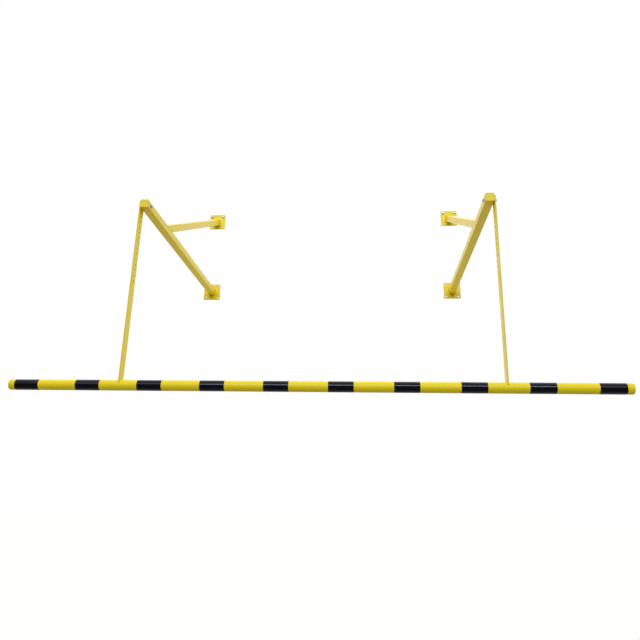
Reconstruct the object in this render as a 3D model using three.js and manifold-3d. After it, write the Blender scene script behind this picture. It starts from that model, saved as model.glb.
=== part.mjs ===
// Swing-away height limiter for a wall: two braced wall brackets carry two flat hangers,
// and the hangers carry one long striped tube that swings on a pivot bolt in each arm tip.
//
// Units are millimetres. +X runs along the tube, +Y points into the wall, +Z is up.
// The origin is on the wall plane, midway between the brackets, at the height of the arms' centre line.
import * as THREE from 'three';
import * as BufferGeometryUtils from 'three/addons/utils/BufferGeometryUtils.js';
import Module from 'manifold-3d';

// ---- Driving dimensions -------------------------------------------------------------------
const ARM_SPACING = 2365;          // between the two arms' centre lines
const ARM_SECTION = 60;            // square tube, outside
const ARM_WALL = 3;
const ARM_CORNER = 8;              // outside corner radius of the square tube
const ARM_REACH = 1865;            // wall plane to the front face of the arm
const ARM_CAP_T = 4;               // plate that closes the arm's front end

const PLATE = 160;                 // square wall plate
const PLATE_T = 8;
const PLATE_CORNER = 12;
const PLATE_HOLE_PITCH = 115;
const PLATE_HOLE_D = 14;
const UPPER_PLATE_Z = 770;         // centre of the upper plate above the arm's centre line

const BRACE_ANGLE = 28;            // degrees above level
const BRACE_SECTION = 60;
const BRACE_WALL = 3;

const PIVOT_SETBACK = 52;          // pivot bolt behind the arm's front face
const PIVOT_D = 12;
const BUSH_OD = 20;
const BUSH_BORE = 12.4;

const HANGER_W = 60;               // flat bar, measured along Y
const HANGER_T = 10;               // measured along X
const HANGER_GAP = 3;              // arm's outer face to the hanger's inner face
const HANGER_TOP = 28;             // pivot to the top end
const HANGER_HOLE_D = 13;
const HANGER_HOLE_PITCH = 40;
const HANGER_HOLES = 15;
const DROP = 1275;                 // pivot down to the round tube's centre line

const TUBE_D = 69;
const TUBE_WALL = 2;
const BAR_LENGTH = 3920;           // over both end caps
const CAP_T = 8;                   // part of the end cap that stands outside the tube
const CAP_ROUND = 6;
const CAP_SKIRT = 22;

const BANDS = 10;
const BAND_W = 160;
const BAND_PITCH = 408;
const BAND_T = 0.4;

const HEX_AF = 18;                 // M12 hexagon, across flats
const HEAD_H = 7.5;
const NUT_H = 7;
const WASHER_OD = 24;
const WASHER_BORE = 12.6;
const WASHER_T = 2.4;
const WALL_BOLT_IN_WALL = 60;      // shank behind the wall plane

const GAP = 0.3;                   // left between pieces that touch

const ROUND_SEGMENTS = 32;         // facets round the striped tube
const SMALL_SEGMENTS = 20;         // facets round bolts, washers and bushes

// ---- Materials ------------------------------------------------------------------------------
const yellow = new THREE.MeshStandardMaterial({ color: 0xe6c21c, roughness: 0.42, metalness: 0.0 });
const yellowPlastic = new THREE.MeshStandardMaterial({ color: 0xe0bf1a, roughness: 0.5, metalness: 0.0 });
const black = new THREE.MeshStandardMaterial({ color: 0x101014, roughness: 0.25, metalness: 0.0 });
const zinc = new THREE.MeshStandardMaterial({ color: 0xc4ccd4, roughness: 0.35, metalness: 0.9 });
const steel = new THREE.MeshStandardMaterial({ color: 0x8c9094, roughness: 0.5, metalness: 0.8 });

// ---- Solid helpers ---------------------------------------------------------------------------
const wasm = await Module();
wasm.setup();

function toSolid(geometry, matrix) {
  let g = geometry.clone();
  if (matrix) g.applyMatrix4(matrix);
  g.deleteAttribute('normal');
  g.deleteAttribute('uv');
  g = BufferGeometryUtils.mergeVertices(g, 1e-4);
  return new wasm.Manifold(new wasm.Mesh({
    numProp: 3,
    vertProperties: new Float32Array(g.attributes.position.array),
    triVerts: new Uint32Array(g.index.array),
  }));
}

function toGeometry(solid) {
  const m = solid.getMesh();
  const g = new THREE.BufferGeometry();
  const p = new Float32Array((m.vertProperties.length / m.numProp) * 3);
  for (let i = 0, n = p.length / 3; i < n; i++) {
    for (let k = 0; k < 3; k++) p[3 * i + k] = m.vertProperties[i * m.numProp + k];
  }
  g.setAttribute('position', new THREE.BufferAttribute(p, 3));
  g.setIndex(new THREE.BufferAttribute(new Uint32Array(m.triVerts), 1));
  g.computeVertexNormals();
  return g;
}

const at = (x, y, z) => new THREE.Matrix4().makeTranslation(x, y, z);
const rotX = (a) => new THREE.Matrix4().makeRotationX(a);
const rotY = (a) => new THREE.Matrix4().makeRotationY(a);
const rotZ = (a) => new THREE.Matrix4().makeRotationZ(a);
const mul = (...ms) => ms.reduce((a, b) => a.multiply(b), new THREE.Matrix4());

// Rounded square outline centred on the origin.
function roundedRect(Ctor, w, h, r) {
  const s = new Ctor();
  const x = w / 2, y = h / 2;
  s.moveTo(-x + r, -y);
  s.lineTo(x - r, -y); s.absarc(x - r, -y + r, r, -Math.PI / 2, 0, false);
  s.lineTo(x, y - r); s.absarc(x - r, y - r, r, 0, Math.PI / 2, false);
  s.lineTo(-x + r, y); s.absarc(-x + r, y - r, r, Math.PI / 2, Math.PI, false);
  s.lineTo(-x, -y + r); s.absarc(-x + r, -y + r, r, Math.PI, 1.5 * Math.PI, false);
  return s;
}

function extrude(shape, depth, curveSegments = 6) {
  return new THREE.ExtrudeGeometry(shape, { depth, bevelEnabled: false, curveSegments, steps: 1 });
}

// Square tube standing along its own +Z from 0 to length.
function squareTube(size, wall, corner, length) {
  const s = roundedRect(THREE.Shape, size, size, corner);
  s.holes.push(roundedRect(THREE.Path, size - 2 * wall, size - 2 * wall, corner - wall));
  return extrude(s, length, 2);
}

// Cylinder or ring about the X axis from x0 to x1.
function rodX(r, x0, x1, segments) {
  const g = new THREE.CylinderGeometry(r, r, x1 - x0, segments);
  return toSolid(g, mul(at((x0 + x1) / 2, 0, 0), rotZ(-Math.PI / 2)));
}

// The same about the Y axis.
function rodY(r, y0, y1, segments) {
  return toSolid(new THREE.CylinderGeometry(r, r, y1 - y0, segments), at(0, (y0 + y1) / 2, 0));
}

const hexR = HEX_AF / Math.sqrt(3);

// Closed profile [radius, distance along the axis] turned about X.
function latheX(profile, segments) {
  const g = new THREE.LatheGeometry(profile.map(([r, x]) => new THREE.Vector2(r, x)), segments);
  const s = toSolid(g, rotZ(-Math.PI / 2));
  return s;
}

const root = new THREE.Group();
root.name = 'height_limiter';

function add(name, solid, material) {
  const mesh = new THREE.Mesh(toGeometry(solid), material);
  mesh.name = name;
  root.add(mesh);
  return mesh;
}

const PIVOT_Y = -(ARM_REACH - PIVOT_SETBACK);
const HALF = ARM_SECTION / 2;

// ---- Wall plate: square, four corner holes, in the XZ plane, back face on the wall plane ------
function wallPlate(x, z) {
  const s = roundedRect(THREE.Shape, PLATE, PLATE, PLATE_CORNER);
  for (const sx of [-1, 1]) for (const sz of [-1, 1]) {
    const h = new THREE.Path();
    h.absarc(sx * PLATE_HOLE_PITCH / 2, sz * PLATE_HOLE_PITCH / 2, PLATE_HOLE_D / 2, 0, 2 * Math.PI, true);
    s.holes.push(h);
  }
  // extruded along +Z, then laid so that the thickness runs from the wall plane to -Y
  return toSolid(extrude(s, PLATE_T, 5), mul(at(x, 0, z), rotX(Math.PI / 2)));
}

// ---- Arm: square tube from the lower plate to its front cap, bored across for the pivot bush ---
function armTube(x) {
  const y0 = -PLATE_T - GAP;
  const y1 = -(ARM_REACH - ARM_CAP_T - GAP);
  let tube = toSolid(squareTube(ARM_SECTION, ARM_WALL, ARM_CORNER, y0 - y1), mul(at(x, y0, 0), rotX(Math.PI / 2)));
  const bore = rodX(BUSH_OD / 2 + GAP, x - HALF - 5, x + HALF + 5, SMALL_SEGMENTS).translate([0, PIVOT_Y, 0]);
  return tube.subtract(bore);
}

function armCap(x) {
  const s = roundedRect(THREE.Shape, ARM_SECTION, ARM_SECTION, ARM_CORNER);
  return toSolid(extrude(s, ARM_CAP_T, 2), mul(at(x, -(ARM_REACH - ARM_CAP_T), 0), rotX(Math.PI / 2)));
}

// ---- Brace: square tube cut upright at the plate and level on the arm ---------------------------
function braceTube(x) {
  const a = THREE.MathUtils.degToRad(BRACE_ANGLE);
  const length = (UPPER_PLATE_Z - HALF) / Math.sin(a);
  const extra = 160;
  // the tube's own +Z runs from the upper plate forwards and down
  const dir = new THREE.Vector3(0, -Math.cos(a), -Math.sin(a));
  const m = new THREE.Matrix4().makeBasis(
    new THREE.Vector3(-1, 0, 0),
    new THREE.Vector3(0, Math.sin(a), -Math.cos(a)),
    dir,
  );
  m.setPosition(x - 0, -extra * dir.y, UPPER_PLATE_Z - extra * dir.z);
  const tube = toSolid(squareTube(BRACE_SECTION, BRACE_WALL, ARM_CORNER, length + 2 * extra), m);
  // keep only what lies in front of the plate and above the arm
  const keep = toSolid(new THREE.BoxGeometry(200, 4000, 2000),
    at(x, -PLATE_T - GAP - 2000, HALF + GAP + 1000));
  return tube.intersect(keep);
}

// ---- Bush through the arm ---------------------------------------------------------------------
function pivotBush(x) {
  return rodX(BUSH_OD / 2, x - HALF, x + HALF, SMALL_SEGMENTS)
    .subtract(rodX(BUSH_BORE / 2, x - HALF - 2, x + HALF + 2, SMALL_SEGMENTS))
    .translate([0, PIVOT_Y, 0]);
}

// ---- Fasteners ---------------------------------------------------------------------------------
function washerX(x0, x1) {
  return rodX(WASHER_OD / 2, x0, x1, SMALL_SEGMENTS).subtract(rodX(WASHER_BORE / 2, x0 - 1, x1 + 1, SMALL_SEGMENTS));
}

function wallWasher(x, z) {
  const y0 = -PLATE_T - GAP - WASHER_T, y1 = -PLATE_T - GAP;
  return rodY(WASHER_OD / 2, y0, y1, SMALL_SEGMENTS).subtract(rodY(WASHER_BORE / 2, y0 - 1, y1 + 1, SMALL_SEGMENTS)).translate([x, 0, z]);
}

function wallBolt(x, z) {
  const under = -PLATE_T - 2 * GAP - WASHER_T;
  let hex = rodY(hexR, under - HEAD_H, under, 6);
  // chamfer of the hexagon's outer corners
  const cone = toSolid(new THREE.CylinderGeometry(hexR * 1.6, HEX_AF / 2 * 0.97, hexR * 1.6 - HEX_AF / 2 * 0.97, 12),
    at(0, under - HEAD_H + (hexR * 1.6 - HEX_AF / 2 * 0.97) / 2, 0));
  hex = hex.intersect(cone);
  const shank = rodY(PIVOT_D / 2, under - 1, WALL_BOLT_IN_WALL, 16);
  return hex.add(shank).translate([x, 0, z]);
}

// side = -1 for the left bracket and +1 for the right; "out" is away from the other bracket.
function pivotParts(side, armX) {
  const inner = armX - side * HALF;             // arm's inner face
  const outer = armX + side * HALF;             // arm's outer face
  const span = (a, b) => [Math.min(a, b), Math.max(a, b)];
  const put = (s) => s.translate([0, PIVOT_Y, 0]);

  const headWasher = span(inner - side * GAP, inner - side * (GAP + WASHER_T));
  const headUnder = inner - side * (2 * GAP + WASHER_T);
  const headTop = headUnder - side * HEAD_H;
  const spacer = span(outer + side * GAP, outer + side * (GAP + WASHER_T));
  const hangerOut = outer + side * (HANGER_GAP + HANGER_T);
  const nutWasher = span(hangerOut + side * GAP, hangerOut + side * (GAP + WASHER_T));
  const nutUnder = hangerOut + side * (2 * GAP + WASHER_T);
  const nutTop = nutUnder + side * NUT_H;
  const boltEnd = nutTop + side * 0.8;

  // bolt: hexagon head with chamfered corners, plain shank to the far end
  let head = rodX(hexR, ...span(headUnder, headTop), 6);
  const c = hexR * 1.6 - HEX_AF / 2 * 0.97;
  const cone = new THREE.CylinderGeometry(hexR * 1.6, HEX_AF / 2 * 0.97, c, 12);
  head = head.intersect(toSolid(cone, mul(at(headTop + side * c / 2, 0, 0), rotZ(side > 0 ? -Math.PI / 2 : Math.PI / 2))));
  const bolt = head.add(rodX(PIVOT_D / 2, ...span(headUnder - side * 1, boltEnd), SMALL_SEGMENTS));

  // locking nut: hexagon below, round collar above
  const hexTop = nutUnder + side * (NUT_H - 2.2);
  let nut = rodX(hexR, ...span(nutUnder, hexTop), 6).add(rodX(HEX_AF / 2 - 0.6, ...span(hexTop - side * 1, nutTop), SMALL_SEGMENTS));
  nut = nut.subtract(rodX(PIVOT_D / 2 + GAP, ...span(nutUnder - side * 2, nutTop + side * 2), SMALL_SEGMENTS));

  return {
    bolt: put(bolt),
    nut: put(nut),
    headWasher: put(washerX(...headWasher)),
    spacer: put(washerX(...spacer)),
    nutWasher: put(washerX(...nutWasher)),
  };
}

// ---- Hanger: flat bar with adjusting holes, lower end shaped to the round tube -------------------
function hanger(x0, x1) {
  const s = new THREE.Shape();
  const w = HANGER_W / 2, r = 5;
  s.moveTo(-w, -DROP);
  s.lineTo(w, -DROP);
  s.lineTo(w, HANGER_TOP - r); s.absarc(w - r, HANGER_TOP - r, r, 0, Math.PI / 2, false);
  s.lineTo(-w + r, HANGER_TOP); s.absarc(-w + r, HANGER_TOP - r, r, Math.PI / 2, Math.PI, false);
  s.lineTo(-w, -DROP);
  for (let i = 0; i < HANGER_HOLES; i++) {
    const h = new THREE.Path();
    h.absarc(0, -i * HANGER_HOLE_PITCH, HANGER_HOLE_D / 2, 0, 2 * Math.PI, true);
    s.holes.push(h);
  }
  // outline x becomes world Y, outline y becomes world Z, thickness runs along X
  const m = new THREE.Matrix4().makeBasis(
    new THREE.Vector3(0, 1, 0), new THREE.Vector3(0, 0, 1), new THREE.Vector3(1, 0, 0));
  m.setPosition(x0, PIVOT_Y, 0);
  const bar = toSolid(extrude(s, x1 - x0, 6), m);
  const saddle = rodX(TUBE_D / 2 + GAP, x0 - 5, x1 + 5, ROUND_SEGMENTS).translate([0, PIVOT_Y, -DROP]);
  return bar.subtract(saddle);
}

// ---- Round tube, bands and end caps ---------------------------------------------------------------
function ringX(rOut, rIn, x0, x1, segments) {
  return latheX([[rIn, x0], [rOut, x0], [rOut, x1], [rIn, x1], [rIn, x0]], segments).translate([0, PIVOT_Y, -DROP]);
}

function barCap(side) {
  const r = TUBE_D / 2, rin = r - TUBE_WALL - GAP;
  const face = BAR_LENGTH / 2, root0 = face - CAP_T;
  const p = [[0, root0 - 2]];
  // hollow skirt that pushes into the tube
  p.push([rin - 2.5, root0 - 2], [rin - 2.5, root0 - CAP_SKIRT], [rin, root0 - CAP_SKIRT], [rin, root0]);
  p.push([r, root0], [r, face - CAP_ROUND - 1]);
  for (let i = 1; i <= 3; i++) {
    const t = (i / 3) * Math.PI / 2;
    p.push([r - CAP_ROUND + CAP_ROUND * Math.cos(t), face - CAP_ROUND - 1 + CAP_ROUND * Math.sin(t)]);
  }
  p.push([r * 0.5, face - 0.25], [0, face]);
  const solid = latheX(p, ROUND_SEGMENTS);
  const m = side > 0 ? solid : solid.mirror([1, 0, 0]);
  return m.translate([0, PIVOT_Y, -DROP]);
}

// ---- Assembly ------------------------------------------------------------------------------------
for (const [label, side] of [['left', -1], ['right', 1]]) {
  const x = side * ARM_SPACING / 2;

  add(`lower_wall_plate_${label}`, wallPlate(x, 0), yellow);
  add(`upper_wall_plate_${label}`, wallPlate(x, UPPER_PLATE_Z), yellow);
  add(`arm_tube_${label}`, armTube(x), yellow);
  add(`arm_end_cap_${label}`, armCap(x), yellow);
  add(`brace_tube_${label}`, braceTube(x), yellow);
  add(`pivot_bush_${label}`, pivotBush(x), steel);

  const zb = UPPER_PLATE_Z + PLATE_HOLE_PITCH / 2;
  for (const [where, s] of [['inner', -side], ['outer', side]]) {
    const xb = x + s * PLATE_HOLE_PITCH / 2;
    add(`wall_bolt_${label}_${where}`, wallBolt(xb, zb), zinc);
    add(`wall_washer_${label}_${where}`, wallWasher(xb, zb), zinc);
  }

  const pivot = pivotParts(side, x);
  add(`pivot_bolt_${label}`, pivot.bolt, zinc);
  add(`pivot_nut_${label}`, pivot.nut, zinc);
  add(`pivot_head_washer_${label}`, pivot.headWasher, zinc);
  add(`pivot_spacer_washer_${label}`, pivot.spacer, zinc);
  add(`pivot_nut_washer_${label}`, pivot.nutWasher, zinc);

  const h0 = x + side * (HALF + HANGER_GAP), h1 = h0 + side * HANGER_T;
  add(`hanger_${label}`, hanger(Math.min(h0, h1), Math.max(h0, h1)), yellow);
  add(`bar_end_cap_${label}`, barCap(side), yellowPlastic);
}

const tubeEnd = BAR_LENGTH / 2 - CAP_T - GAP;
add('bar_tube', ringX(TUBE_D / 2, TUBE_D / 2 - TUBE_WALL, -tubeEnd, tubeEnd, ROUND_SEGMENTS), yellow);

for (let i = 0; i < BANDS; i++) {
  const c = (i - (BANDS - 1) / 2) * BAND_PITCH;
  const name = `black_band_${String(i + 1).padStart(2, '0')}`;
  add(name, ringX(TUBE_D / 2 + 0.1 + BAND_T, TUBE_D / 2 + 0.1, c - BAND_W / 2, c + BAND_W / 2, ROUND_SEGMENTS), black);
}

export default root;
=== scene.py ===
"""Looks for the wall-mounted swing-away height limiter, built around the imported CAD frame."""

import math

import bmesh
import bpy
from mathutils import Matrix, Vector, geometry, noise


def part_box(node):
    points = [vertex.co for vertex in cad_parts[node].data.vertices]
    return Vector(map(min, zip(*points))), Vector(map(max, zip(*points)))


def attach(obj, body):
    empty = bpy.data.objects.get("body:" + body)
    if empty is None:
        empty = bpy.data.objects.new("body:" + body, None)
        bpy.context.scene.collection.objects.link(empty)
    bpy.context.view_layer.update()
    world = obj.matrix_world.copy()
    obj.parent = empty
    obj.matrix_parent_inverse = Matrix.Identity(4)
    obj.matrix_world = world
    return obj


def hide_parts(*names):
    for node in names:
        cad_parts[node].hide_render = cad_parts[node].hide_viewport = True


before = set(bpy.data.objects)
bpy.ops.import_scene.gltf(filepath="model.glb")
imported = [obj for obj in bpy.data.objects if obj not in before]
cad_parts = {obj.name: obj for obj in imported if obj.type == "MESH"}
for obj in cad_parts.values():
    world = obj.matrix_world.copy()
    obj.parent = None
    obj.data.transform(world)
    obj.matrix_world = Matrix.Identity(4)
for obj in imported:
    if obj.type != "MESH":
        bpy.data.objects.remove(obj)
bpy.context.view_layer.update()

MM = 0.001
PI = math.pi

# ------------------------------------------------------------------ places, from the CAD frame (mm)


def bx(node):
    lo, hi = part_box(node)
    return [v / MM for v in lo], [v / MM for v in hi]


SIDES = {"left": -1, "right": 1}
lo, hi = bx("arm_tube_right")
ARM_X = (lo[0] + hi[0]) / 2
ARM_HALF = (hi[0] - lo[0]) / 2
ARM_BACK, ARM_FRONT = hi[1], lo[1]
lo, hi = bx("arm_end_cap_right")
CAP_BACK, CAP_FRONT = hi[1], lo[1]
lo, hi = bx("pivot_bush_right")
PIVOT_Y = (lo[1] + hi[1]) / 2
BUSH_R = (hi[1] - lo[1]) / 2
lo, hi = bx("lower_wall_plate_right")
PLATE_HALF = (hi[0] - lo[0]) / 2
PLATE_T = -lo[1]
lo, hi = bx("upper_wall_plate_right")
UPPER_Z = (lo[2] + hi[2]) / 2
lo, hi = bx("brace_tube_right")
BRACE_BACK, BRACE_FOOT = hi[1], lo[2]
lo, hi = bx("hanger_right")
HANG_IN, HANG_OUT, HANG_TOP = lo[0], hi[0], hi[2]
HANG_HALF = (hi[1] - lo[1]) / 2
lo, hi = bx("bar_tube")
TUBE_R = (hi[2] - lo[2]) / 2
TUBE_Z = (hi[2] + lo[2]) / 2
TUBE_END = hi[0]
lo, hi = bx("bar_end_cap_right")
ENDCAP_FACE, ENDCAP_SKIRT = hi[0], lo[0]

WALL = 3.0
CORNER = 8.0
BRACE_ANGLE = math.radians(28)
HOLE_AT = 57.5
HOLE_R = 7.0
HANG_HOLES, HANG_PITCH, HANG_HOLE_R = 15, 40.0, 6.5
SADDLE_R = TUBE_R + 0.3
TUBE_WALL = 2.0

# ------------------------------------------------------------------ mesh helpers


def loft(rings, cyclic=False, edge=None):
    """Skins closed rings of points, one after another. A ring of one point is a pole."""
    verts, index, att = [], [], []
    for k, ring in enumerate(rings):
        index.append(list(range(len(verts), len(verts) + len(ring))))
        verts.extend(ring)
        att.extend([edge[k] if edge else 0.0] * len(ring))
    faces = []
    pairs = list(zip(index, index[1:]))
    if cyclic:
        pairs.append((index[-1], index[0]))
    for a, b in pairs:
        n = max(len(a), len(b))
        for i in range(n):
            j = (i + 1) % n
            if len(a) == 1:
                faces.append((a[0], b[j], b[i]))
            elif len(b) == 1:
                faces.append((a[i], a[j], b[0]))
            else:
                faces.append((a[i], a[j], b[j], b[i]))
    if not cyclic:
        for r in (index[0], index[-1]):
            if len(r) > 1:
                faces.append(tuple(r))
    return verts, faces, att


def piece(name, made, material, body, replaces=(), sharp=35.0, cut=None):
    """A finished piece from (vertices in mm, faces, edge attribute)."""
    verts, faces, att = made
    me = bpy.data.meshes.new(name)
    me.from_pydata([(x * MM, y * MM, z * MM) for x, y, z in verts], [], faces)
    a = me.attributes.new("edge", "FLOAT", "POINT")
    a.data.foreach_set("value", att)
    bm = bmesh.new()
    bm.from_mesh(me)
    bmesh.ops.recalc_face_normals(bm, faces=bm.faces)
    bm.to_mesh(me)
    bm.free()
    ob = bpy.data.objects.new(name, me)
    bpy.context.scene.collection.objects.link(ob)
    if cut:
        cut_holes(ob, cut)
    me = ob.data
    me.shade_smooth()
    me.set_sharp_from_angle(angle=math.radians(sharp))
    me.materials.clear()
    me.materials.append(material)
    wn = ob.modifiers.new("weighted_normals", "WEIGHTED_NORMAL")
    wn.mode = "FACE_AREA_WITH_ANGLE"
    wn.weight = 70
    wn.keep_sharp = True
    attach(ob, body)
    if replaces:
        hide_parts(*replaces)
    return ob


def cut_holes(ob, cutters):
    """Subtracts closed meshes, given as (vertices in mm, faces, edge), from ob for good."""
    for k, made in enumerate(cutters):
        me = bpy.data.meshes.new("cutter")
        me.from_pydata([(x * MM, y * MM, z * MM) for x, y, z in made[0]], [], made[1])
        bm = bmesh.new()
        bm.from_mesh(me)
        bmesh.ops.recalc_face_normals(bm, faces=bm.faces)
        bm.to_mesh(me)
        bm.free()
        tool = bpy.data.objects.new("cutter", me)
        bpy.context.scene.collection.objects.link(tool)
        mod = ob.modifiers.new("cut", "BOOLEAN")
        mod.operation = "DIFFERENCE"
        mod.solver = "EXACT"
        mod.object = tool
        bpy.context.view_layer.update()
        got = bpy.data.meshes.new_from_object(ob.evaluated_get(bpy.context.evaluated_depsgraph_get()))
        ob.modifiers.clear()
        ob.data = got
        bpy.data.objects.remove(tool)
        bpy.data.meshes.remove(me)


def rrect(hw, hh, r, seg):
    """Closed rounded rectangle, half sizes hw and hh."""
    out = []
    for cx, cy, a0 in ((hw - r, hh - r, 0), (-hw + r, hh - r, 90), (-hw + r, -hh + r, 180), (hw - r, -hh + r, 270)):
        for i in range(seg + 1):
            a = math.radians(a0 + 90 * i / seg)
            out.append((cx + r * math.cos(a), cy + r * math.sin(a)))
    return out


def circle(cx, cy, r, n):
    return [(cx + r * math.cos(2 * PI * i / n), cy + r * math.sin(2 * PI * i / n)) for i in range(n)]


def slab(loops, t, b, steps, place):
    """Plate of thickness t with holes and rounded edges of radius b. loops[0](off) is the outline moved
    inwards by off, and the others are holes widened by off. place(u, v, w) gives the point in mm."""
    levels = []
    for i in range(steps + 1):
        a = PI / 2 * i / steps
        levels.append((b * (1 - math.sin(a)), b * (1 - math.cos(a)), 1.0 if i else 0.0))
    levels += [(off, t - w, e) for off, w, e in reversed(levels)]
    verts, faces, att = [], [], []
    first, last = [], []
    for f in loops:
        index = []
        for off, w, e in levels:
            pts = f(off)
            index.append(list(range(len(verts), len(verts) + len(pts))))
            verts.extend(place(u, v, w) for u, v in pts)
            att.extend([e] * len(pts))
        for a, c in zip(index, index[1:]):
            n = len(a)
            for i in range(n):
                j = (i + 1) % n
                faces.append((a[i], a[j], c[j], c[i]))
        first.append(index[0])
        last.append(index[-1])
    off = levels[0][0]
    flat = [[Vector((u, v, 0)) for u, v in f(off)] for f in loops]
    tris = geometry.tessellate_polygon(flat)
    for group in (first, last):
        ids = [i for ring in group for i in ring]
        for tri in tris:
            faces.append(tuple(ids[i] for i in tri))
    return verts, faces, att


def frame_of(axis, up):
    e1 = Vector(up).normalized()
    ax = Vector(axis).normalized()
    return ax, e1, ax.cross(e1)


def turned(profile, origin, axis, up=(0, 0, 1), n=64, cyclic=True, edge=None):
    """Turns (distance along axis, radius) about the axis."""
    ax, e1, e2 = frame_of(axis, up)
    o = Vector(origin)
    rings = []
    for s, r in profile:
        if r < 1e-6:
            rings.append([tuple(o + ax * s)])
        else:
            rings.append([tuple(o + ax * s + e1 * (r * math.cos(2 * PI * i / n)) + e2 * (r * math.sin(2 * PI * i / n)))
                          for i in range(n)])
    return loft(rings, cyclic, edge)


def round_ring(r_in, r_out, s0, s1, b, steps=3):
    """Section of a ring with rounded corners, as a closed profile."""
    pts = []
    for cs, cr, a0 in ((s1 - b, r_out - b, 0), (s0 + b, r_out - b, 90), (s0 + b, r_in + b, 180), (s1 - b, r_in + b, 270)):
        for i in range(steps + 1):
            a = math.radians(a0 + 90 * i / steps)
            pts.append((cs + b * math.cos(a), cr + b * math.sin(a)))
    return pts


HEX_AF = 18.0


def hex_radius(theta, apothem=HEX_AF / 2, clip=28.4):
    phi = (math.degrees(theta) + 30) % 60 - 30
    return apothem / math.cos(math.radians(min(abs(phi), clip)))


def bolt(origin, axis, up, head_h, length, thread_from, n=96, pitch=1.75, r=6.0):
    """Hexagon bolt. origin is the middle of the head's top and axis points to the far end."""
    ax, e1, e2 = frame_of(axis, up)
    o = Vector(origin)
    th = [2 * PI * i / n for i in range(n)]

    def ring(s, rad):
        return [tuple(o + ax * (s(t) if callable(s) else s) + e1 * ((rad(t) if callable(rad) else rad) * math.cos(t))
                      + e2 * ((rad(t) if callable(rad) else rad) * math.sin(t))) for t in th]

    a = HEX_AF / 2
    rc = a * 0.95
    tan = math.tan(math.radians(28))
    rings = [[tuple(o + ax * 0.35)]]
    rings += [ring(0.35, a * 0.52), ring(0.12, a * 0.62), ring(0.0, a * 0.70), ring(0.0, rc - 0.25)]
    rings += [ring(0.05, rc)]
    rings += [ring(lambda t: 0.05 + (hex_radius(t) - rc) * tan, lambda t: hex_radius(t))]
    rings += [ring(lambda t: head_h - 0.45 - (hex_radius(t) - a) * 0.25, lambda t: hex_radius(t))]
    rings += [ring(lambda t: head_h - 0.3, lambda t: hex_radius(t) - 0.35)]
    rings += [ring(head_h - 0.3, a * 0.96), ring(head_h, a * 0.93), ring(head_h, r + 0.5), ring(head_h + 0.5, r)]
    rings += [ring(thread_from - 1.2, r)]
    root = r - 0.92
    step = pitch / 10
    count = int((length - 0.05 - thread_from) / step)
    for k in range(count + 1):
        s = thread_from + k * step
        fade = min(1.0, (s - thread_from) / (pitch * 1.5))
        lim = min(r, root - 0.25 + max(0.0, length - s) * 1.0)

        def rad(t, s=s, fade=fade, lim=lim):
            p = (s / pitch - t / (2 * PI)) % 1.0
            tri = abs(2 * p - 1)                      # 1 at the crest, 0 at the root
            tri = min(1.0, max(0.0, (tri - 0.12) / 0.74))
            return min(lim, r - (r - root) * (1 - tri) * fade)

        rings.append(ring(s, rad))
    rings += [ring(length, root - 0.3), [tuple(o + ax * length)]]
    return loft(rings)


def nut(origin, axis, up, hex_h, total_h, n=96, bore=6.3):
    """Locking nut: a hexagon with a round collar. origin is the middle of its seat and axis points away from it."""
    ax, e1, e2 = frame_of(axis, up)
    o = Vector(origin)
    th = [2 * PI * i / n for i in range(n)]

    def ring(s, rad):
        return [tuple(o + ax * (s(t) if callable(s) else s) + e1 * ((rad(t) if callable(rad) else rad) * math.cos(t))
                      + e2 * ((rad(t) if callable(rad) else rad) * math.sin(t))) for t in th]

    a = HEX_AF / 2
    tan = math.tan(math.radians(30))
    rings = [ring(0.7, bore), ring(0.0, bore + 0.7), ring(0.0, a * 0.95),
             ring(lambda t: 0.02 + (hex_radius(t) - a * 0.95) * tan, lambda t: hex_radius(t)),
             ring(lambda t: hex_h - 0.25 - (hex_radius(t) - a * 0.93) * tan, lambda t: hex_radius(t)),
             ring(hex_h - 0.2, a * 0.935), ring(hex_h, a * 0.915)]
    rc = a * 0.905
    top = total_h
    rings += [ring(top - 1.5, rc)]
    for i in range(1, 6):
        q = PI / 2 * i / 5
        rings.append(ring(top - 1.5 + 1.5 * math.sin(q), rc - 1.5 + 1.5 * math.cos(q)))
    rings += [ring(top - 0.25, rc - 1.75), ring(top - 0.9, rc - 1.8), ring(top - 0.9, bore)]
    return loft(rings, cyclic=True)


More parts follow.
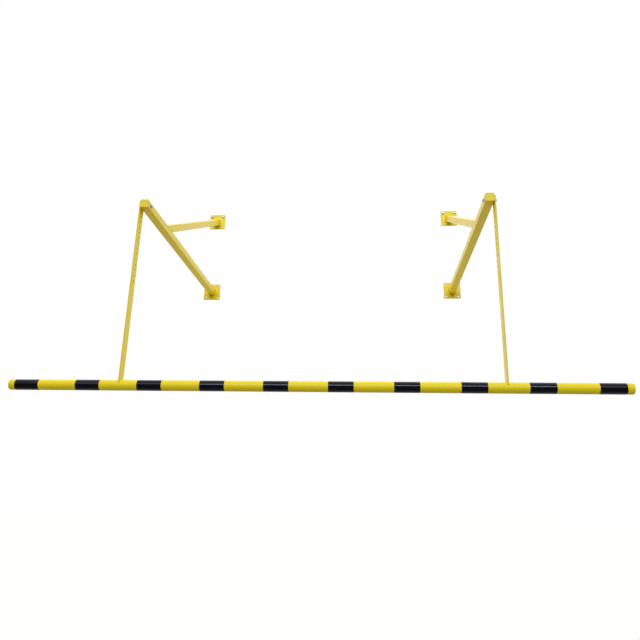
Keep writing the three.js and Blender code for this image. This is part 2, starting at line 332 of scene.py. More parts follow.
def bead(points, outs, r, pitch, seed, seg=14, closed=True, flat=1.0, wobble=0.35):
    """Weld bead with crescent ripples along a path (mm). outs are the directions out of the corner it fills."""
    pts = [Vector(p) for p in points]
    n = len(pts)
    # even spacing along the path
    lengths = [0.0]
    for i in range(1, n + (1 if closed else 0)):
        lengths.append(lengths[-1] + (pts[i % n] - pts[i - 1]).length)
    total = lengths[-1]
    waves = max(3, round(total / pitch))
    count = waves * 6
    rings = []
    k = 0
    samples = []
    for m in range(count if closed else count + 1):
        s = total * m / count
        while k < len(lengths) - 2 and lengths[k + 1] < s:
            k += 1
        f = (s - lengths[k]) / max(1e-9, lengths[k + 1] - lengths[k])
        p = pts[k].lerp(pts[(k + 1) % n], f)
        o = Vector(outs[k]).lerp(Vector(outs[(k + 1) % n]), f).normalized()
        samples.append((s, p, o))
    c = len(samples)
    for m, (s, p, o) in enumerate(samples):
        a, b = samples[(m - 1) % c][1], samples[(m + 1) % c][1]
        if not closed:
            a = samples[max(0, m - 1)][1]
            b = samples[min(c - 1, m + 1)][1]
        t = (b - a).normalized()
        o = (o - t * o.dot(t)).normalized()
        q = t.cross(o)
        u = 2 * PI * s / total
        drift = wobble * noise.noise(Vector((3.0 * math.cos(u), 3.0 * math.sin(u), seed * 7.3))) if closed else \
            wobble * noise.noise(Vector((s * 0.05, 0.3, seed * 7.3)))
        swell = 1 + 0.10 * noise.noise(Vector((5.0 * math.cos(u), 5.0 * math.sin(u), seed * 3.1 + 50)))
        if not closed:
            swell *= min(1.0, 0.45 + min(s, total - s) / (2.2 * r))
        ring = []
        for i in range(seg):
            phi = 2 * PI * i / seg
            phase = (s * waves / total - 0.42 * (1 - math.cos(phi))) % 1.0
            ridge = 1 + 0.14 * (1 - phase) ** 2 - 0.05
            rad = r * swell * ridge
            ring.append(tuple(p + o * (rad * math.cos(phi) * flat) + q * (rad * math.sin(phi) + drift)))
        rings.append(ring)
    if closed:
        return loft(rings, cyclic=True)
    rings.insert(0, [tuple(sum((Vector(v) for v in rings[0]), Vector()) / seg - (samples[1][1] - samples[0][1]).normalized() * r * 0.3)])
    rings.append([tuple(sum((Vector(v) for v in rings[-1]), Vector()) / seg + (samples[-1][1] - samples[-2][1]).normalized() * r * 0.3)])
    return loft(rings)


# ------------------------------------------------------------------ materials


def new_material(name):
    m = bpy.data.materials.new(name)
    m.use_nodes = True
    nt = m.node_tree
    bsdf = nt.nodes["Principled BSDF"]
    return m, nt, bsdf


def node(nt, kind, **values):
    n = nt.nodes.new(kind)
    for k, v in values.items():
        if k.startswith("in_"):
            key = k[3:].replace("_", " ")
            n.inputs[key].default_value = v
        else:
            setattr(n, k, v)
    return n


def noise_tex(nt, coord, scale, detail=2.0, rough=0.5, distortion=0.0, stretch=None):
    src = coord
    if stretch:
        mp = node(nt, "ShaderNodeMapping")
        mp.inputs["Scale"].default_value = stretch
        nt.links.new(coord, mp.inputs["Vector"])
        src = mp.outputs["Vector"]
    n = node(nt, "ShaderNodeTexNoise")
    n.noise_dimensions = "3D"
    n.inputs["Scale"].default_value = scale
    n.inputs["Detail"].default_value = detail
    n.inputs["Roughness"].default_value = rough
    n.inputs["Distortion"].default_value = distortion
    nt.links.new(src, n.inputs["Vector"])
    return n.outputs["Fac"]


def remap(nt, value, a, b, c, d, smooth=False):
    n = node(nt, "ShaderNodeMapRange")
    if smooth:
        n.interpolation_type = "SMOOTHSTEP"
    n.inputs["From Min"].default_value = a
    n.inputs["From Max"].default_value = b
    n.inputs["To Min"].default_value = c
    n.inputs["To Max"].default_value = d
    nt.links.new(value, n.inputs["Value"])
    return n.outputs["Result"]


def mix_color(nt, fac, a, b):
    n = node(nt, "ShaderNodeMix", data_type="RGBA")
    nt.links.new(fac, n.inputs[0])
    for socket, v in ((n.inputs[6], a), (n.inputs[7], b)):
        if isinstance(v, (tuple, list)):
            socket.default_value = (*v, 1.0) if len(v) == 3 else v
        else:
            nt.links.new(v, socket)
    return n.outputs[2]


def math_node(nt, op, a, b):
    n = node(nt, "ShaderNodeMath", operation=op)
    for socket, v in ((n.inputs[0], a), (n.inputs[1], b)):
        if isinstance(v, (int, float)):
            socket.default_value = v
        else:
            nt.links.new(v, socket)
    return n.outputs[0]


def bump(nt, height, strength, distance, normal=None):
    n = node(nt, "ShaderNodeBump")
    n.inputs["Strength"].default_value = strength
    n.inputs["Distance"].default_value = distance
    nt.links.new(height, n.inputs["Height"])
    if normal is not None:
        nt.links.new(normal, n.inputs["Normal"])
    return n.outputs["Normal"]


YELLOW = (0.805, 0.584, 0.004)


def powder_coat(name, base=YELLOW, spec=0.20):
    """Semi-gloss powder coat over welded steel: orange peel, slow colour drift, thin paint on the edges."""
    m, nt, bsdf = new_material(name)
    co = node(nt, "ShaderNodeTexCoord").outputs["Object"]
    edge = node(nt, "ShaderNodeAttribute", attribute_name="edge").outputs["Fac"]

    drift = remap(nt, noise_tex(nt, co, 3.1, 3.0, 0.55), 0.3, 0.7, 0.0, 1.0)
    warm = tuple(c * k for c, k in zip(base, (1.015, 0.965, 0.8)))
    cool = tuple(c * k for c, k in zip(base, (0.955, 0.995, 1.5)))
    colour = mix_color(nt, drift, warm, cool)
    # faint handling marks and dust in patches
    patch = noise_tex(nt, co, 21.0, 5.0, 0.62, 0.4)
    colour = mix_color(nt, remap(nt, patch, 0.56, 0.76, 0.0, 0.40, True), colour,
                       (base[0] * 0.86, base[1] * 0.88, base[2] + 0.035))
    # paint is thinner on the edges and a little darker, with a few small chips
    colour = mix_color(nt, math_node(nt, "MULTIPLY", edge, 0.42), colour,
                       (base[0] * 0.80, base[1] * 0.74, base[2] * 0.8))
    chip_noise = noise_tex(nt, co, 95.0, 4.0, 0.66)
    where = noise_tex(nt, co, 8.0, 2.0)
    chip = math_node(nt, "MULTIPLY", remap(nt, chip_noise, 0.60, 0.625, 0.0, 1.0),
                     remap(nt, where, 0.50, 0.56, 0.0, 1.0))
    chip = math_node(nt, "MULTIPLY", chip, edge)
    colour = mix_color(nt, chip, colour, (0.30, 0.27, 0.20))
    nt.links.new(colour, bsdf.inputs["Base Color"])

    rough = remap(nt, noise_tex(nt, co, 17.0, 4.0, 0.6), 0.25, 0.75, 0.30, 0.43)
    rough = math_node(nt, "ADD", rough, math_node(nt, "MULTIPLY", chip, 0.25))
    nt.links.new(rough, bsdf.inputs["Roughness"])

    peel = noise_tex(nt, co, 260.0, 2.0, 0.5)
    n1 = bump(nt, peel, 0.55, 0.00005)
    n3 = bump(nt, chip, 0.5, -0.00010, n1)
    nt.links.new(n3, bsdf.inputs["Normal"])
    bsdf.inputs["Specular IOR Level"].default_value = spec
    bsdf.inputs["IOR"].default_value = 1.5
    return m


def film(name):
    """Glossy black vinyl film stretched round the tube."""
    m, nt, bsdf = new_material(name)
    co = node(nt, "ShaderNodeTexCoord").outputs["Object"]
    edge = node(nt, "ShaderNodeAttribute", attribute_name="edge").outputs["Fac"]
    haze = noise_tex(nt, co, 26.0, 5.0, 0.6, 0.3)
    colour = mix_color(nt, remap(nt, haze, 0.35, 0.75, 0.0, 1.0), (0.0012, 0.0012, 0.0015), (0.0028, 0.0028, 0.0033))
    colour = mix_color(nt, math_node(nt, "MULTIPLY", edge, 0.55), colour, (0.022, 0.021, 0.021))
    nt.links.new(colour, bsdf.inputs["Base Color"])
    scuff = noise_tex(nt, co, 60.0, 6.0, 0.7, 0.0, (0.25, 1.0, 1.0))
    rough = remap(nt, scuff, 0.35, 0.75, 0.07, 0.13)
    nt.links.new(rough, bsdf.inputs["Roughness"])
    long_wave = noise_tex(nt, co, 34.0, 2.0, 0.5, 0.0, (0.35, 1.0, 1.0))
    grain = noise_tex(nt, co, 900.0, 2.0, 0.5)
    n1 = bump(nt, long_wave, 0.25, 0.0003)
    n2 = bump(nt, grain, 0.10, 0.00002, n1)
    nt.links.new(n2, bsdf.inputs["Normal"])
    bsdf.inputs["Specular IOR Level"].default_value = 0.22
    bsdf.inputs["IOR"].default_value = 1.5
    return m


def plastic(name, base, rough=(0.36, 0.50)):
    """Injection-moulded plastic with a fine spark-eroded grain."""
    m, nt, bsdf = new_material(name)
    co = node(nt, "ShaderNodeTexCoord").outputs["Object"]
    edge = node(nt, "ShaderNodeAttribute", attribute_name="edge").outputs["Fac"]
    flow = noise_tex(nt, co, 38.0, 3.0, 0.5, 0.8)
    colour = mix_color(nt, remap(nt, flow, 0.3, 0.7, 0.0, 1.0), base, tuple(c * 0.93 for c in base))
    colour = mix_color(nt, math_node(nt, "MULTIPLY", edge, 0.25), colour,
                       (min(1, base[0] * 1.08), min(1, base[1] * 1.08), base[2] + 0.02))
    nt.links.new(colour, bsdf.inputs["Base Color"])
    nt.links.new(remap(nt, noise_tex(nt, co, 55.0, 4.0, 0.6), 0.3, 0.7, *rough), bsdf.inputs["Roughness"])
    grain = noise_tex(nt, co, 1300.0, 2.0, 0.6)
    nt.links.new(bump(nt, grain, 0.30, 0.00003), bsdf.inputs["Normal"])
    bsdf.inputs["Specular IOR Level"].default_value = 0.35
    bsdf.inputs["IOR"].default_value = 1.46
    return m


def metal(name, bright, dull, rough, mottle=70.0, stain=(0.32, 0.30, 0.26), stain_at=(0.66, 0.80)):
    """Plated or bare steel: mottled crystals, handling stains and fine machining marks."""
    m, nt, bsdf = new_material(name)
    co = node(nt, "ShaderNodeTexCoord").outputs["Object"]
    spangle = noise_tex(nt, co, mottle * 9, 2.0, 0.6, 0.6)
    cloud = noise_tex(nt, co, mottle, 4.0, 0.6)
    colour = mix_color(nt, remap(nt, spangle, 0.3, 0.7, 0.0, 1.0), bright, dull)
    colour = mix_color(nt, remap(nt, cloud, *stain_at, 0.0, 0.6, True), colour, stain)
    nt.links.new(colour, bsdf.inputs["Base Color"])
    bsdf.inputs["Metallic"].default_value = 1.0
    nt.links.new(remap(nt, cloud, 0.3, 0.75, rough[0], rough[1]), bsdf.inputs["Roughness"])
    marks = noise_tex(nt, co, 1500.0, 2.0, 0.6)
    nt.links.new(bump(nt, marks, 0.20, 0.00002), bsdf.inputs["Normal"])
    return m


M_COAT = powder_coat("yellow_powder_coat")
M_CAP = plastic("yellow_cap_plastic", (0.80, 0.60, 0.008))
M_FILM = film("black_gloss_film")
M_ZINC = metal("zinc_plated", (0.40, 0.435, 0.50), (0.33, 0.365, 0.43), (0.38, 0.52))
M_STEEL = metal("bare_steel", (0.46, 0.45, 0.43), (0.36, 0.35, 0.33), (0.34, 0.55))
M_NYLON = plastic("lock_ring_nylon", (0.10, 0.22, 0.48), (0.35, 0.5))

# ------------------------------------------------------------------ wall plates


def build_plate(label, level, x, z):
    loops = [lambda off: rrect(PLATE_HALF - off, PLATE_HALF - off, 12 - off, 10)]
    for sx in (-1, 1):
        for sz in (-1, 1):
            loops.append(lambda off, sx=sx, sz=sz: circle(sx * HOLE_AT, sz * HOLE_AT, HOLE_R + off, 40))
    made = slab(loops, PLATE_T, 0.9, 3, lambda u, v, w: (x + u, -w, z + v))
    piece(f"{level}_wall_plate_{label}_fine", made, M_COAT, "wall_brackets", [f"{level}_wall_plate_{label}"])


# ------------------------------------------------------------------ square tubes


def tube_section(half, off, inner=False):
    if inner:
        return rrect(half - WALL, half - WALL, CORNER - WALL, 7)
    return rrect(half - off, half - off, CORNER - off, 7)


def build_arm(label, side):
    x = side * ARM_X
    spec = [(0.5, 0.0), (0.15, 0.15), (0.0, 0.5)]
    rings, att = [], []
    for off, d in spec:
        rings.append([(x + u, ARM_BACK - d, v) for u, v in tube_section(ARM_HALF, off)])
        att.append(0.0)
    for k in range(1, 12):
        y = ARM_BACK + (ARM_FRONT - ARM_BACK) * k / 12
        rings.append([(x + u, y, v) for u, v in tube_section(ARM_HALF, 0.0)])
        att.append(0.0)
    for off, d in reversed(spec):
        rings.append([(x + u, ARM_FRONT + d, v) for u, v in tube_section(ARM_HALF, off)])
        att.append(0.5)
    for y in (ARM_FRONT, ARM_BACK):
        rings.append([(x + u, y, v) for u, v in tube_section(ARM_HALF, 0, True)])
        att.append(0.0)
    made = loft(rings, cyclic=True, edge=att)
    bore = turned([(-40, 0), (-40, BUSH_R + 0.3), (40, BUSH_R + 0.3), (40, 0)], (x, PIVOT_Y, 0), (1, 0, 0), n=48, cyclic=False)
    piece(f"arm_tube_{label}_fine", made, M_COAT, "wall_brackets", [f"arm_tube_{label}"], cut=[bore])

    # closing plate on the arm's front end
    made = slab([lambda off: rrect(ARM_HALF - off, ARM_HALF - off, CORNER - off * 0.6, 8)],
                CAP_BACK - CAP_FRONT, 1.4, 4, lambda u, v, w: (x + u, CAP_BACK - w, v))
    piece(f"arm_end_cap_{label}_fine", made, M_COAT, "wall_brackets", [f"arm_end_cap_{label}"])
    # ground weld that joins it
    path, outs = [], []
    for u, v in rrect(ARM_HALF - 0.75, ARM_HALF - 0.75, CORNER - 0.75, 8):
        path.append((x + u, (CAP_BACK + ARM_FRONT) / 2, v))
        d = Vector((u if abs(u) > 23 else 0, 0, v if abs(v) > 23 else 0))
        outs.append(tuple(d.normalized()))
    made = bead(path, outs, 0.85, 2.6, 11 + side, seg=8, wobble=0.1)
    piece(f"weld_end_cap_{label}", made, M_COAT, "wall_brackets", sharp=60)

    # fillet weld, arm to lower plate
    path, outs = [], []
    for u, v in rrect(ARM_HALF + 0.7, ARM_HALF + 0.7, CORNER + 0.7, 8):
        path.append((x + u, -PLATE_T - 0.9, v))
        c = Vector((u - math.copysign(min(abs(u), 24), u), 0, v - math.copysign(min(abs(v), 24), v)))
        c.normalize()
        outs.append((c.x, -1.0, c.z))
    made = bead(path, outs, 3.1, 4.3, 1 + side)
    piece(f"weld_lower_plate_{label}", made, M_COAT, "wall_brackets", sharp=70)


SIN, COS = math.sin(BRACE_ANGLE), math.cos(BRACE_ANGLE)


def brace_point(x, u, v, end):
    """Point of the brace's long edge (u, v) where it meets the plate ('top') or the arm ('foot')."""
    if end == "top":
        t = (v * SIN - BRACE_BACK) / COS
    else:
        t = (UPPER_Z - v * COS - BRACE_FOOT) / SIN
    return Vector((x + u, v * SIN - t * COS, UPPER_Z - v * COS - t * SIN))


def build_brace(label, side):
    x = side * ARM_X
    outer, inner = tube_section(ARM_HALF, 0.0), tube_section(ARM_HALF, 0.0, True)
    rings = []
    top = [brace_point(x, u, v, "top") for u, v in outer]
    foot = [brace_point(x, u, v, "foot") for u, v in outer]
    for k in range(11):
        rings.append([tuple(a.lerp(b, k / 10)) for a, b in zip(top, foot)])
    rings.append([tuple(brace_point(x, u, v, "foot")) for u, v in inner])
    rings.append([tuple(brace_point(x, u, v, "top")) for u, v in inner])
    piece(f"brace_tube_{label}_fine", loft(rings, cyclic=True), M_COAT, "wall_brackets", [f"brace_tube_{label}"])

    # fillet weld, brace to upper plate
    path, outs = [], []
    half = ARM_HALF + 0.8
    for u, v in rrect(half, half, CORNER + 0.8, 8):
        p = brace_point(x, u, v, "top")
        path.append((p.x, -PLATE_T - 0.9, p.z))
        c = Vector((u - math.copysign(min(abs(u), 24), u), 0, -(v - math.copysign(min(abs(v), 24), v))))
        c.normalize()
        outs.append((c.x, -1.0, c.z))
    piece(f"weld_upper_plate_{label}", bead(path, outs, 3.2, 4.4, 21 + side), M_COAT, "wall_brackets", sharp=70)

    # weld round the brace's foot: fillets across the arm, and a filled groove flush with its sides
    path, outs = [], []
    for u, v in rrect(ARM_HALF, ARM_HALF, CORNER, 8):
        p = brace_point(x, u, v, "foot")
        s = max(-1.0, min(1.0, v / 24.0))
        side_part = 1 - abs(s) ** 8
        inset = 3.3
        px = p.x - math.copysign(min(inset, abs(u)), u) * (1 if abs(u) > 20 else 0)
        # v > 0 is the underside of the brace, which faces the wall at the foot
        py = p.y + (1.6 if v > 0 else -1.2) * abs(s) ** 6
        path.append((px, py, ARM_HALF - 0.9 + 1.2 * (1 - side_part)))
        outs.append((math.copysign(1, u) * side_part, math.copysign(1, v) * (1 - side_part), 0.8))
    piece(f"weld_brace_foot_{label}", bead(path, outs, 3.1, 4.6, 31 + side), M_COAT, "wall_brackets", sharp=70)


# ------------------------------------------------------------------ fasteners


def build_fasteners(label, side):
    x = side * ARM_X
    # pivot bush through the arm
    lo, hi = bx(f"pivot_bush_{label}")
    prof = round_ring(6.2, BUSH_R, 0.0, hi[0] - lo[0], 0.6)
    piece(f"pivot_bush_{label}_fine", turned(prof, (lo[0], PIVOT_Y, 0), (1, 0, 0), n=64), M_STEEL, "wall_brackets",
          [f"pivot_bush_{label}"])
    # washers on the pivot
    for part in ("head", "spacer", "nut"):
        name = f"pivot_{part}_washer_{label}"
        lo, hi = bx(name)
        prof = round_ring(6.3, (hi[2] - lo[2]) / 2, 0.0, hi[0] - lo[0], 0.45)
        piece(name + "_fine", turned(prof, (lo[0], PIVOT_Y, 0), (1, 0, 0), n=64), M_ZINC, "pivot_bolts", [name])
    # pivot bolt, head on the arm's inner side
    lo, hi = bx(f"pivot_bolt_{label}")
    start, end = (lo[0], hi[0]) if side > 0 else (hi[0], lo[0])
    length = abs(end - start)
    nlo, nhi = bx(f"pivot_nut_{label}")
    seat = nlo[0] if side > 0 else nhi[0]
    thread_from = abs(seat - start) - 4
    made = bolt((start, PIVOT_Y, 0), (side, 0, 0), (0, 0.31, 1), 7.5, length, thread_from)
    piece(f"pivot_bolt_{label}_fine", made, M_ZINC, "pivot_bolts", [f"pivot_bolt_{label}"], sharp=25)
    made = nut((seat, PIVOT_Y, 0), (side, 0, 0), (0, -0.2, 1), 4.8, 7.0)
    piece(f"pivot_nut_{label}_fine", made, M_ZINC, "pivot_bolts", [f"pivot_nut_{label}"], sharp=25)
    made = turned([(4.2, 6.12), (4.2, 6.28), (6.05, 6.28), (6.18, 6.75), (6.3, 7.05), (6.55, 6.9), (6.6, 6.6), (6.4, 6.15)],
                  (seat, PIVOT_Y, 0), (side, 0, 0), n=64)
    piece(f"pivot_nut_ring_{label}", made, M_NYLON, "pivot_bolts")
    # wall bolts and their washers
    for where in ("inner", "outer"):
        name = f"wall_bolt_{label}_{where}"
        lo, hi = bx(name)
        cx, cz = (lo[0] + hi[0]) / 2, (lo[2] + hi[2]) / 2
        turn = {"inner": 0.12, "outer": 0.42}[where] * side
        made = bolt((cx, lo[1], cz), (0, 1, 0), (turn, 0, 1), 7.5, hi[1] - lo[1], 30.0)
        piece(name + "_fine", made, M_ZINC, "wall_brackets", [name], sharp=25)
        name = f"wall_washer_{label}_{where}"
        lo, hi = bx(name)
        prof = round_ring(6.3, (hi[0] - lo[0]) / 2, 0.0, hi[1] - lo[1], 0.45)
        piece(name + "_fine", turned(prof, (cx, lo[1], cz), (0, 1, 0), n=64), M_ZINC, "wall_brackets", [name])


# ------------------------------------------------------------------ hangers


def build_hanger(label, side):
    top, r, w = HANG_TOP, 5.0, HANG_HALF
    drop = -TUBE_Z

    def outline(off):
        pts = []
        rr = SADDLE_R + off
        ww = w - off
        beta = math.acos(ww / rr)
        # the corner at the wall side, up, over the top, down, and back along the saddle
        pts.append((ww, -drop + rr * math.sin(beta)))
        for k in range(1, 12):
            pts.append((ww, -drop + rr * math.sin(beta) + (top - r + drop - rr * math.sin(beta)) * k / 12))
        for i in range(9):
            a = PI / 2 * i / 8
            pts.append((w - r + (r - off) * math.cos(a), top - r + (r - off) * math.sin(a)))
        for i in range(9):
            a = PI / 2 + PI / 2 * i / 8
            pts.append((-w + r + (r - off) * math.cos(a), top - r + (r - off) * math.sin(a)))
        for k in range(11, 0, -1):
            pts.append((-ww, -drop + rr * math.sin(beta) + (top - r + drop - rr * math.sin(beta)) * k / 12))
        for i in range(33):
            b = PI - beta - (PI - 2 * beta) * i / 32
            if i < 32:
                pts.append((rr * math.cos(b), -drop + rr * math.sin(b)))
        return pts

    loops = [outline]
    for i in range(HANG_HOLES):
        loops.append(lambda off, i=i: circle(0, -i * HANG_PITCH, HANG_HOLE_R + off, 40))
    x0 = side * HANG_IN
    made = slab(loops, HANG_OUT - HANG_IN, 0.8, 3, lambda u, v, t: (x0 + side * t, PIVOT_Y + u, v))
    piece(f"hanger_{label}_fine", made, M_COAT, "swing_bar", [f"hanger_{label}"])

    # fillet weld round the foot of the hanger, on the round tube
    path, outs = [], []
    beta = math.acos((w + 0.6) / (TUBE_R + 0.9))
    n = 30
    for face in (1, -1):
        xf = side * ((HANG_OUT + 0.7) if face > 0 else (HANG_IN - 0.7))
        for i in range(n + 1):
            b = beta + (PI - 2 * beta) * (i / n if face > 0 else 1 - i / n)
            rr = TUBE_R + 0.9
            path.append((xf, PIVOT_Y + rr * math.cos(b), TUBE_Z + rr * math.sin(b)))
            e = 1.0 if 0 < i < n else 0.35
            outs.append((side * face * e, math.cos(b), math.sin(b)))
    piece(f"weld_hanger_foot_{label}", bead(path, outs, 2.9, 4.2, 41 + side), M_COAT, "swing_bar", sharp=70)


# ------------------------------------------------------------------ striped tube


def around_x(x, r, n, phase=0.0):
    return [(x, PIVOT_Y + r * math.cos(2 * PI * i / n + phase), TUBE_Z + r * math.sin(2 * PI * i / n + phase))
            for i in range(n)]


def build_bar():
    n = 128
    rings, att = [], []
    for d, dr in ((0.0, 0.45), (0.15, 0.15), (0.45, 0.0)):
        rings.append(around_x(-TUBE_END + d, TUBE_R - dr, n))
        att.append(0.6)
    stations = 48
    for k in range(1, stations):
        rings.append(around_x(-TUBE_END + 2 * TUBE_END * k / stations, TUBE_R, n))
        att.append(0.0)
    for d, dr in ((0.45, 0.0), (0.15, 0.15), (0.0, 0.45)):
        rings.append(around_x(TUBE_END - d, TUBE_R - dr, n))
        att.append(0.6)
    for xx in (TUBE_END, -TUBE_END):
        rings.append(around_x(xx, TUBE_R - TUBE_WALL, n))
        att.append(0.0)
    piece("bar_tube_fine", loft(rings, cyclic=True, edge=att), M_COAT, "swing_bar", ["bar_tube"])


def build_band(i):
    name = f"black_band_{i:02d}"
    lo, hi = bx(name)
    x0, x1 = lo[0], hi[0]
    r_top = (hi[2] - lo[2]) / 2             # over the overlap
    r_skin = r_top - 0.17                   # a single layer
    r_in = r_top - 0.36
    n = 144
    seam = math.radians(205 + 9 * noise.noise(Vector((i * 1.7, 0.4, 2.0))))
    lap = 0.52

    def skin(theta, lift=0.0):
        d = (theta - seam) % (2 * PI)
        r = r_skin
        if d < lap:
            r = r_top - 0.02 * (1 - d / lap)
            if d < 0.02:
                r = r_top
            if d > lap - 0.10:
                r = r_top - (r_top - r_skin) * (d - lap + 0.10) / 0.10
        return r - lift

    ths = [2 * PI * k / n for k in range(n)] + [seam % (2 * PI), (seam - 0.004) % (2 * PI), (seam + 0.012) % (2 * PI)]
    ths = sorted(ths)

    def edge_in(theta, end):
        c = Vector((2.2 * math.cos(theta), 2.2 * math.sin(theta), i * 3.7 + end * 11))
        return 0.30 + 0.30 * noise.noise(c)

    def ring(end, inset, radius, lift=0.0):
        out = []
        for t in ths:
            e = max(0.02, edge_in(t, end)) + inset
            x = x0 + e if end == 0 else x1 - e
            r = skin(t, lift) if radius == "skin" else radius
            out.append((x, PIVOT_Y + r * math.cos(t), TUBE_Z + r * math.sin(t)))
        return out

    rings = [ring(0, 0.0, r_in), ring(0, 0.0, "skin", 0.10), ring(0, 0.12, "skin", 0.0), ring(0, 1.2, "skin", 0.0)]
    att = [0.0, 1.0, 1.0, 0.0]
    for k in range(1, 8):
        x = x0 + (x1 - x0) * k / 8
        rings.append([(x, PIVOT_Y + skin(t) * math.cos(t), TUBE_Z + skin(t) * math.sin(t)) for t in ths])
        att.append(0.0)
    rings += [ring(1, 1.2, "skin", 0.0), ring(1, 0.12, "skin", 0.0), ring(1, 0.0, "skin", 0.10), ring(1, 0.0, r_in)]
    att += [0.0, 1.0, 1.0, 0.0]
    piece(name + "_fine", loft(rings, cyclic=True, edge=att), M_FILM, "swing_bar", [name], sharp=50)


def build_end_cap(label, side):
    r = TUBE_R
    face = ENDCAP_FACE
    back = face - 8.0
    rin = r - TUBE_WALL - 0.3
    p, e = [], []

    def add(s, rad, ed=0.0):
        p.append((s, rad))
        e.append(ed)

    add(back - 2.0, 0.0)
    add(back - 2.0, rin - 3.6)
    add(back - 2.6, rin - 2.6)
    add(ENDCAP_SKIRT + 0.6, rin - 2.2)
    add(ENDCAP_SKIRT, rin - 1.6)
    add(ENDCAP_SKIRT + 0.5, rin - 0.6)
    # gripping ribs on the skirt
    s = ENDCAP_SKIRT + 3.0
    while s < back - 4:
        add(s, rin - 0.55)
        add(s + 1.6, rin - 0.02)
        add(s + 2.1, rin - 0.02)
        add(s + 2.5, rin - 0.55)
        s += 5.0
    add(back - 0.8, rin - 0.4)
    add(back, rin)
    add(back, r - 0.5, 0.5)
    add(back + 0.15, r - 0.15, 1.0)
    add(back + 0.5, r, 0.5)
    rr = 6.0
    for i in range(11):
        a = PI / 2 * i / 10
        add(face - 0.45 - rr + rr * math.sin(a), r - rr + rr * math.cos(a), 0.35 if 2 < i < 8 else 0.0)
    # slightly domed face with a shallow ring and a gate mark in the middle
    add(face - 0.40, r - 8.0)
    add(face - 0.55, r - 9.2)
    add(face - 0.55, r - 10.0)
    add(face - 0.30, r - 11.0)
    for k in range(1, 6):
        rad = (r - 11.0) * (1 - k / 6) + 2.4 * k / 6
        add(face - 0.30 + 0.30 * (k / 5), rad)
    add(face - 0.02, 2.2)
    add(face - 0.7, 1.9)
    add(face - 0.7, 0.9)
    add(face - 0.35, 0.6)
    add(face - 0.35, 0.0)
    made = turned([(s * 1.0, rad) for s, rad in p], (0, PIVOT_Y, TUBE_Z), (side, 0, 0), n=112, cyclic=False, edge=e)
    piece(f"bar_end_cap_{label}_fine", made, M_CAP, "swing_bar", [f"bar_end_cap_{label}"], sharp=32)


for label, side in SIDES.items():
    build_plate(label, "lower", side * ARM_X, 0.0)
    build_plate(label, "upper", side * ARM_X, UPPER_Z)
    build_arm(label, side)
    build_brace(label, side)
    build_fasteners(label, side)
    build_hanger(label, side)
    build_end_cap(label, side)
build_bar()
for i in range(1, 11):
    build_band(i)

# ------------------------------------------------------------------ floor, light, camera

FLOOR_ALBEDO = 0.92
BOUNCE_FRONT, BOUNCE_BACK = 0.14, 0.66
ENV_FRONT, ENV_BACK, ENV_UP = 0.42, 1.18, 0.42
SOFTBOX, STRIP, FILL = 3650, 3200, 13


def disc(name, z, radii, n=96):
    me = bpy.data.meshes.new(name)
    rings = []
    verts, faces = [(0, 0, 0)], []
    for r in radii:
        rings.append(list(range(len(verts), len(verts) + n)))
        verts += [(r * math.cos(2 * PI * i / n), r * math.sin(2 * PI * i / n), 0) for i in range(n)]
    for i in range(n):
        faces.append((0, rings[0][i], rings[0][(i + 1) % n]))
        for a, b in zip(rings, rings[1:]):
            faces.append((a[i], b[i], b[(i + 1) % n], a[(i + 1) % n]))
    me.from_pydata(verts, [], faces)
    me.update()
    ob = bpy.data.objects.new(name, me)
    ob.location = (0, -2.4, z)
    bpy.context.scene.collection.objects.link(ob)
    return ob


def floor_material(name, front, back, near, far, level, warm=1.0):
    """Diffuse near the middle, going over to an even tone further out; clear from below.

    front and back are the floor's lightness before and behind the object."""
    m = bpy.data.materials.new(name)
    m.use_nodes = True
    nt = m.node_tree
    nt.nodes.clear()
    out = node(nt, "ShaderNodeOutputMaterial")
    co = node(nt, "ShaderNodeTexCoord").outputs["Object"]
    dist = node(nt, "ShaderNodeVectorMath", operation="LENGTH")
    nt.links.new(co, dist.inputs[0])
    fade = remap(nt, dist.outputs["Value"], near, far, 0.0, 1.0, True)
    split = node(nt, "ShaderNodeSeparateXYZ")
    nt.links.new(co, split.inputs[0])
    depth = remap(nt, split.outputs["Y"], -1.2, 2.6, 0.0, 1.0, True)
    tone = mix_color(nt, depth, (front, front * warm, front * warm * warm), (back, back, back * 0.99))
    matt = node(nt, "ShaderNodeBsdfDiffuse")
    nt.links.new(tone, matt.inputs["Color"])
    glow = node(nt, "ShaderNodeEmission")
    nt.links.new(tone, glow.inputs["Color"])
    glow.inputs["Strength"].default_value = level
    mixed = node(nt, "ShaderNodeMixShader")
    nt.links.new(fade, mixed.inputs[0])
    nt.links.new(matt.outputs[0], mixed.inputs[1])
    nt.links.new(glow.outputs[0], mixed.inputs[2])
    geo = node(nt, "ShaderNodeNewGeometry")
    clear = node(nt, "ShaderNodeBsdfTransparent")
    last = node(nt, "ShaderNodeMixShader")
    nt.links.new(geo.outputs["Backfacing"], last.inputs[0])
    nt.links.new(mixed.outputs[0], last.inputs[1])
    nt.links.new(clear.outputs[0], last.inputs[2])
    nt.links.new(last.outputs[0], out.inputs["Surface"])
    m.cycles.emission_sampling = "NONE"
    return m


FLOOR_Z = -3.45
floor = disc("floor", FLOOR_Z, (1, 2, 3, 4, 5, 7, 10, 16, 30, 60))
floor.data.materials.append(floor_material("pale_floor", FLOOR_ALBEDO, FLOOR_ALBEDO, 2.0, 4.1, 1.0 / FLOOR_ALBEDO))
floor.visible_diffuse = floor.visible_glossy = floor.visible_transmission = floor.visible_shadow = False
# what the floor sends back up onto the object
bounce = disc("floor_bounce", FLOOR_Z - 0.004, (1, 2, 3, 4, 5, 7, 10, 16, 30, 60))
bounce.data.materials.append(floor_material("floor_bounce", BOUNCE_FRONT, BOUNCE_BACK, 4.0, 9.0, 1.05, 0.92))
bounce.visible_camera = False

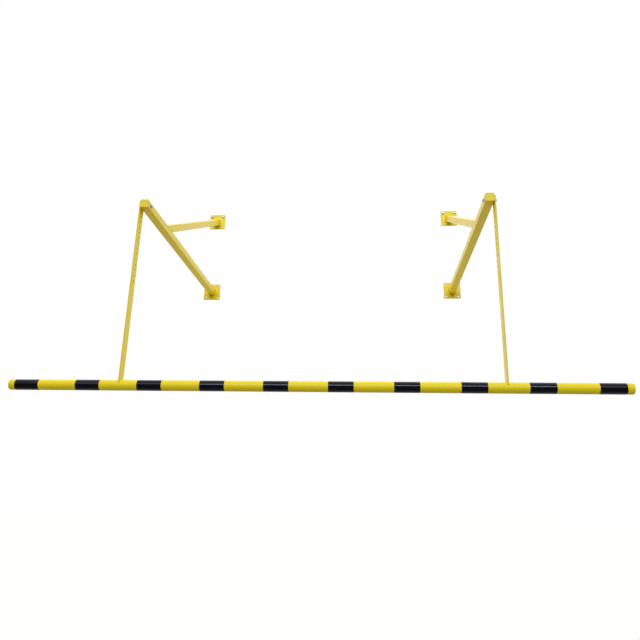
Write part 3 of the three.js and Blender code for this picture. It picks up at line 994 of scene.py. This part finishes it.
world = bpy.data.worlds.new("studio")
bpy.context.scene.world = world
world.use_nodes = True
wt = world.node_tree
wt.nodes.clear()
w_out = node(wt, "ShaderNodeOutputWorld")
w_co = node(wt, "ShaderNodeTexCoord").outputs["Generated"]
w_sep = node(wt, "ShaderNodeSeparateXYZ")
wt.links.new(w_co, w_sep.inputs[0])
w_back = remap(wt, w_sep.outputs["Y"], -0.7, 0.7, ENV_FRONT, ENV_BACK, True)
w_up = remap(wt, w_sep.outputs["Z"], 0.0, 0.9, 0.0, ENV_UP, True)
w_level = math_node(wt, "ADD", w_back, w_up)
w_room = node(wt, "ShaderNodeBackground")
w_room.inputs["Color"].default_value = (0.94, 0.97, 1.10, 1)
wt.links.new(w_level, w_room.inputs["Strength"])
w_white = node(wt, "ShaderNodeBackground")
w_white.inputs["Color"].default_value = (1, 1, 1, 1)
w_white.inputs["Strength"].default_value = 1.0
w_pick = node(wt, "ShaderNodeMixShader")
wt.links.new(node(wt, "ShaderNodeLightPath").outputs["Is Camera Ray"], w_pick.inputs[0])
wt.links.new(w_room.outputs[0], w_pick.inputs[1])
wt.links.new(w_white.outputs[0], w_pick.inputs[2])
wt.links.new(w_pick.outputs[0], w_out.inputs["Surface"])


def area(name, at, look, size, size_y, watts, color=(1, 1, 1)):
    data = bpy.data.lights.new(name, "AREA")
    data.shape = "RECTANGLE"
    data.size, data.size_y = size, size_y
    data.energy = watts
    data.color = color
    ob = bpy.data.objects.new(name, data)
    ob.location = at
    ob.rotation_mode = "QUATERNION"
    ob.rotation_quaternion = (Vector(look) - Vector(at)).to_track_quat("-Z", "Y")
    ob.visible_camera = False
    bpy.context.scene.collection.objects.link(ob)
    return ob


area("softbox", (0.0, -31.0, 17.0), (0, -1.0, -0.6), 44.0, 13.0, SOFTBOX, (0.94, 0.97, 1.05))
area("strip", (0.0, -25.8, 9.2), (0.0, -1.81, -1.275), 20.0, 1.3, STRIP, (0.62, 0.82, 1.30))
area("wall_fill", (0.0, -1.25, 2.3), (0.0, 0.0, 0.35), 3.6, 0.6, FILL, (1.0, 0.92, 0.80))

cam = bpy.data.cameras.new("camera")
cam.lens = 33.007
cam.sensor_width = 36.0
cam.clip_start, cam.clip_end = 0.05, 200
cam_ob = bpy.data.objects.new("camera", cam)
bpy.context.scene.collection.objects.link(cam_ob)
yaw, pitch, roll = (math.radians(a) for a in (4.921, 16.728, 1.297))
fw = Vector((-math.sin(yaw) * math.cos(pitch), math.cos(yaw) * math.cos(pitch), math.sin(pitch)))
right = fw.cross(Vector((0, 0, 1))).normalized()
up = right.cross(fw)
rr = right * math.cos(roll) + up * math.sin(roll)
uu = up * math.cos(roll) - right * math.sin(roll)
rot = Matrix((rr, uu, -fw)).transposed()
cam_ob.matrix_world = Matrix.Translation(Vector((0.374958, -5.439812, -1.932799))) @ rot.to_4x4()
bpy.context.scene.camera = cam_ob

bpy.context.scene.view_settings.view_transform = "Standard"
bpy.context.scene.view_settings.look = "None"
bpy.context.scene.view_settings.exposure = 0.0
bpy.context.scene.view_settings.gamma = 1.0
